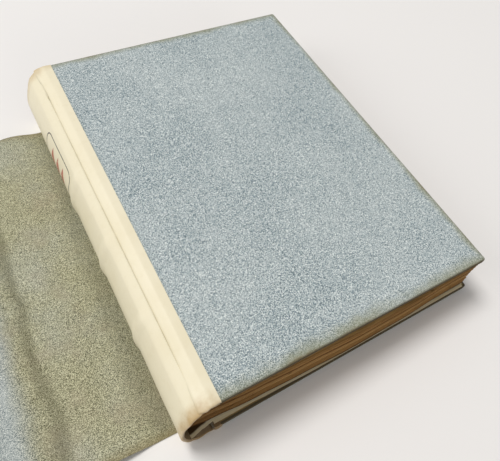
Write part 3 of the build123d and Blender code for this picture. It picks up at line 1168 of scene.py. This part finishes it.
@dataclass
class Jacket:
    """The loose paper jacket: one creased sheet, opened out under the book."""

    sizes: BookSizes = field(default_factory=BookSizes)
    paper: float = 0.3
    height: float = 228.0
    tail: float = 7.6
    spine_width: float = 51.0
    under_book: float = 15.0
    turn: float = 2.0
    panel_width: float = 184.0
    flap: float = 68.0
    head_trim: float = 2.4
    cell: float = 2.0
    dents: tuple[tuple[float, float], ...] = ((-21.0, 23.5), (-21.5, -19.5), (-20.0, -64.0))

    def lay(self, u: float, v: float, z: float) -> Vector:
        """Place a point of the jacket.

        Args:
            u: the place across the sheet, from the fold by the book.
            v: the place up it, from its middle.
            z: the height over the table.

        Returns:
            The point in the model's frame.
        """
        turn = math.radians(-self.turn)
        x = u * math.cos(turn) - v * math.sin(turn)
        y = u * math.sin(turn) + v * math.cos(turn)
        size = self.sizes
        return size.at(x - self.under_book, y + size.board_height / 2, z)

    def lift(self, u: float, v: float) -> float:
        """Shape the opened-out paper.

        The fold beside the back panel dips to the table between two low swells. Three short dents are where
        the raised bands pressed on the paper, and the head and tail edges curl up a little.

        Args:
            u: the place across the sheet.
            v: the place up it.

        Returns:
            How far the paper stands off the table, in millimetres.
        """
        fold = -self.spine_width
        swells = 3.1 * math.exp(-(((u - fold + 15) / 9.5) ** 2))
        swells += 1.7 * math.exp(-(((u - fold - 17) / 12) ** 2))
        waves = 0.5 * (1 + math.sin(u * 0.043 + 1.3 * math.sin(v * 0.021)))
        waves *= 1 + 0.4 * math.sin(v * 0.05 + u * 0.02)
        ends = 2.4 * smooth((abs(v - 1) - 84) / 30) * math.exp(-(((u + 26) / 19) ** 2))
        dents = 0.0
        for dent_u, dent_v in self.dents:
            along_dent = (u - dent_u) + 0.55 * (v - dent_v)
            across_dent = (v - dent_v) - 0.55 * (u - dent_u)
            dents += 0.7 * math.exp(-((along_dent / 8) ** 2) - (across_dent / 2.6) ** 2)
        away = smooth((-5 - u) / 16)
        far = smooth((u + self.spine_width + self.panel_width) / 14)
        return max(0.0, swells + waves + ends - dents) * away * far

    def front_lift(self, u: float) -> float:
        """Return the step of the panel under the book, which lies over its folded flap."""
        start = self.panel_width - self.flap
        return self.paper * min(1.0, max(0.0, (u - start + 2.0) / 2.0))

    def sheet(self, name: str, u_from: float, u_to: float) -> Piece:
        """Build a stretch of the sheet.

        Args:
            name: the piece's name.
            u_from: the place across the sheet where the stretch starts.
            u_to: where it ends.

        Returns:
            The stretch, with its thickness.
        """
        across = max(2, round((u_to - u_from) / self.cell))
        up = round(self.height / self.cell)
        low = self.tail - self.sizes.board_height / 2
        vertices = []
        for row in range(up + 1):
            for column in range(across + 1):
                u = u_from + (u_to - u_from) * column / across
                high = low + self.height - self.head_trim * smooth((-22 - u) / 30)
                v = low + (high - low) * row / up
                base = self.front_lift(u) if u > 0 else self.lift(u, v)
                vertices.append(self.lay(u, v, base + self.paper))
        piece = mesh_object(name, vertices, grid_faces(up + 1, across + 1))
        thicken(piece, self.paper * MM * 0.95)
        return piece

    def build(self, finish: Material) -> Piece:
        """Build the jacket's opened-out sheet and dress it.

        Args:
            finish: the jacket's paper.

        Returns:
            The finished piece.
        """
        fold = -self.spine_width - self.panel_width
        main = self.sheet("jacket_sheet", fold, self.panel_width)
        coat(main, finish)
        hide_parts("jacket_front_panel", "jacket_spine", "jacket_back_panel")
        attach(main, Body.JACKET.value)
        return main


@dataclass(frozen=True)
class JacketPaper:
    """The same mould-made paper as the boards, browned to olive where the jacket's spine met the light."""

    name: str = "sunned_speckled_jacket_paper"
    olive: str = "9B997B"
    olive_pale: str = "DAD7B6"
    olive_dark: str = "504F39"
    rim: str = "85764C"
    # Dark olive for the painted shade in the fold and beside the book.
    painted_jacket_shade: str = "55523A"
    rosy: str = "A79B84"
    rosy_patch: float = 19 * MM
    olive_patch: float = 30 * MM
    olive_from: tuple[float, float] = (-72 * MM, -56 * MM)
    olive_to: tuple[float, float] = (22 * MM, 6 * MM)
    painted_fold_shade: tuple[float, float] = (6 * MM, 0.5 * MM)
    book_shade: tuple[float, float] = (17 * MM, 4 * MM)
    browned_rim: tuple[float, float] = (6 * MM, -1 * MM)
    sheet: SpeckledPaper = SpeckledPaper(ground="A2AAA8", pale="D6DAD4", dark="5F6D71", fleck=0.21 * MM)

    def build(self, jacket: Jacket) -> Material:
        """Return the jacket's paper, with its browned band laid along the spine panel.

        Args:
            jacket: the jacket, whose place and turn the band follows.

        Returns:
            The material.
        """
        tree = Finish(self.name, 0.9, 0.22)
        add = tree.add
        place = add("TexCoord", out=3)
        blue, grain = self.sheet.flecked(tree, place)
        olive = self.sheet.flecks(tree, grain, self.olive, self.olive_pale, self.olive_dark)
        rosy = add("TexNoise", place, None, 0.5 / self.rosy_patch, 3.0, 0.6)
        olive = tree.over(olive, self.rosy, rosy, 0.5, 0.68, 0.4)
        corner, turn = tuple(jacket.lay(0, 0, 0)), (0, 0, math.radians(-jacket.turn))
        turned = add("Mapping", place, corner, turn, vector_type="TEXTURE")
        u, v, _ = add("SeparateXYZ", turned, out=None).outputs
        wander = tree.wander(place, 16 * MM, 14 * MM, 3.0, 0.5)
        u = add("Math ADD", u, wander)
        left = add("MapRange SMOOTHSTEP", u, *self.olive_from)
        right = add("MapRange SMOOTHSTEP", u, *self.olive_to)
        patchy = add("TexNoise", place, None, 0.5 / self.olive_patch, 4.0, 0.6)
        patchy = add("MapRange SMOOTHSTEP", patchy, 0.75, 0.4, 0.68, 1.0)
        band = add("Math MULTIPLY", add("Math MULTIPLY", left, right), patchy)
        colour = add("MixRGB", band, blue, olive)
        # Painted shade: the paper is darkened in the valley of the far fold and beside the book, where shade
        # falls.
        off_fold = add("Math ABSOLUTE", add("Math SUBTRACT", u, -jacket.spine_width * MM))
        folded = add("MapRange SMOOTHSTEP", off_fold, *self.painted_fold_shade, 0.0, 0.42)
        beside = add("MapRange SMOOTHSTEP", add("Math ABSOLUTE", u), *self.book_shade, 0.0, 0.4)
        colour = add("MixRGB", add("Math MAXIMUM", folded, beside), colour, linear(self.painted_jacket_shade))
        middle = jacket.tail + jacket.height / 2 - jacket.sizes.board_height / 2
        away = add("Math ABSOLUTE", add("Math SUBTRACT", v, middle * MM))
        edge = add("Math SUBTRACT", jacket.height / 2 * MM, away)
        edge = add("Math MULTIPLY_ADD", wander, 0.3, edge)
        colour = tree.over(colour, self.rim, edge, *self.browned_rim, 0.5)
        return tree.done(colour, grain, 0.06 * MM)


@dataclass
class Studio:
    """The plain table, the soft light and the camera."""

    place: tuple[float, float, float] = (-0.11205, -0.16555, 0.2763)
    turn: tuple[float, float, float] = (31.688, -5.142, -29.702)
    lens: float = 35.927
    shift: tuple[float, float] = (-0.02418, 0.00391)
    aim: tuple[float, float, float] = (0.0, 0.0, 0.02)
    table_half: float = 3.0

    def camera(self) -> None:
        """Set up the camera at the photograph's angle."""
        data = bpy.data.cameras.new("camera")
        data.lens = self.lens
        data.sensor_width = 36.0
        data.shift_x, data.shift_y = self.shift
        data.clip_start = 0.01
        camera = bpy.data.objects.new("camera", data)
        camera.location = self.place
        camera.rotation_euler = [math.radians(angle) for angle in self.turn]
        bpy.context.scene.collection.objects.link(camera)
        bpy.context.scene.camera = camera

    def lamp(self, name: str, place: Vector, size: float, power: float, colour: str) -> None:
        """Hang one soft lamp and aim it at the book.

        Args:
            name: the lamp's name.
            place: where it hangs.
            size: its width in metres.
            power: its power in watts.
            colour: its colour as six hex digits.
        """
        data = bpy.data.lights.new(name, "AREA")
        data.shape = "DISK"
        data.size = size
        data.energy = power
        data.color = linear(colour)[:3]
        lamp = bpy.data.objects.new(name, data)
        lamp.location = place
        lamp.rotation_euler = (Vector(self.aim) - place).to_track_quat("-Z", "Y").to_euler()
        bpy.context.scene.collection.objects.link(lamp)

    def table(self) -> None:
        """Lay the pale table top."""
        signs = ((-1, -1), (1, -1), (1, 1), (-1, 1))
        corners = [Vector((x, y, 0)) * self.table_half for x, y in signs]
        table = mesh_object("table", corners, [(0, 1, 2, 3)])
        table.location.z = -0.0002
        laminate = Finish("white_laminate", 0.7, 0.3)
        laminate.shader.inputs["Base Color"].default_value = linear("F2F0EE")
        table.data.materials.append(laminate.material)

    def build(self) -> None:
        """Build the table, the lamps, the world and the camera."""
        self.table()
        self.lamp("window", Vector((-1.05, 1.95, 4.9)), 2.1, 170.0, "FFFDFB")
        self.lamp("side", Vector((-3.7, 0.9, 2.3)), 2.8, 36.0, "FFFEFC")
        self.lamp("wall", Vector((0.3, -4.2, 1.1)), 2.4, 28.0, "FFFAF2")
        world = bpy.data.worlds.new("room")
        world.use_nodes = True
        background = world.node_tree.nodes["Background"]
        background.inputs[0].default_value = linear("FFFFFF")
        tree = Tree(world.node_tree)
        level = tree.add("MapRange", tree.add("LightPath"), 0.0, 1.0, 0.32, 0.9)
        world.node_tree.links.new(level, background.inputs[1])
        bpy.context.scene.world = world
        bpy.context.scene.view_settings.view_transform = "Standard"
        self.camera()


def dress_nodes(finish: Material, *nodes: str) -> None:
    """Give CAD nodes a finish in place of their plain one."""
    for node in nodes:
        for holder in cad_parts[node].material_slots:
            holder.material = finish


def main() -> None:
    """Build and dress every piece, then the studio."""
    logging.basicConfig(level=logging.INFO)
    paper, jacket = SpeckledPaper(), Jacket()
    # The lower endpaper's dark brown is partly soiling, partly painted shade.
    soiled = PlainPaper("cream_endpaper_with_soil_and_painted_shade", "EADDBB", "D2C092", 6 * MM, "4A3418")
    jacket_finish = JacketPaper().build(jacket)
    front = paper.on_board(*map(Vector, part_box("front_cover_paper")))
    back = paper.on_board(*map(Vector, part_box("back_cover_paper")))
    pieces = [
        CoveredBoard("front_cover_sheet", Side.FRONT, Body.FRONT_COVER).build(front),
        CoveredBoard("back_cover_sheet", Side.BACK, Body.BOOK).build(back),
        VellumSpine().build(Vellum().build(*map(Vector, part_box("spine_vellum")))),
        TextBlock().build(TonedEdges().build(*map(Vector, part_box("gathering_08")))),
        LowerEndpaper().build(soiled.build()),
        jacket.build(jacket_finish),
    ]
    dress_nodes(jacket_finish, "jacket_front_flap", "jacket_back_flap")
    endpaper = PlainPaper("cream_endpaper", "E3D6B4", "CDBB8E")
    dress_nodes(endpaper.build(), "front_pastedown", "back_pastedown", "front_flyleaf")
    dress_nodes(PlainPaper("grey_binders_board", "8B8272", "6E6454").build(), "front_board", "back_board")
    # The inlay card is dark brown: partly browned card, partly painted shade in the hollow.
    dress_nodes(PlainPaper("browned_inlay_card_with_painted_shade", "6E5A3C", "513F26").build(), "spine_inlay")
    dress_nodes(WovenCloth("glue_browned_mull", "7E6A46", "4E3C22", 1.1 * MM).build(), "spine_lining")
    tape = WovenCloth("glue_browned_linen_tape", "8A7650", "5E4C2E", 0.7 * MM)
    dress_nodes(tape.build(), *[f"sewing_tape_{number}" for number in (1, 2, 3)])
    band = PlainPaper("pressed_band_strip", "6E5636", "523F26")
    dress_nodes(band.build(), *[f"spine_band_{number}" for number in (1, 2, 3)])
    for piece in pieces:
        log.info("%s: %d faces", piece.name, len(piece.data.polygons))
    Studio().build()
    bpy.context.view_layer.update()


if __name__ == "__main__":
    main()
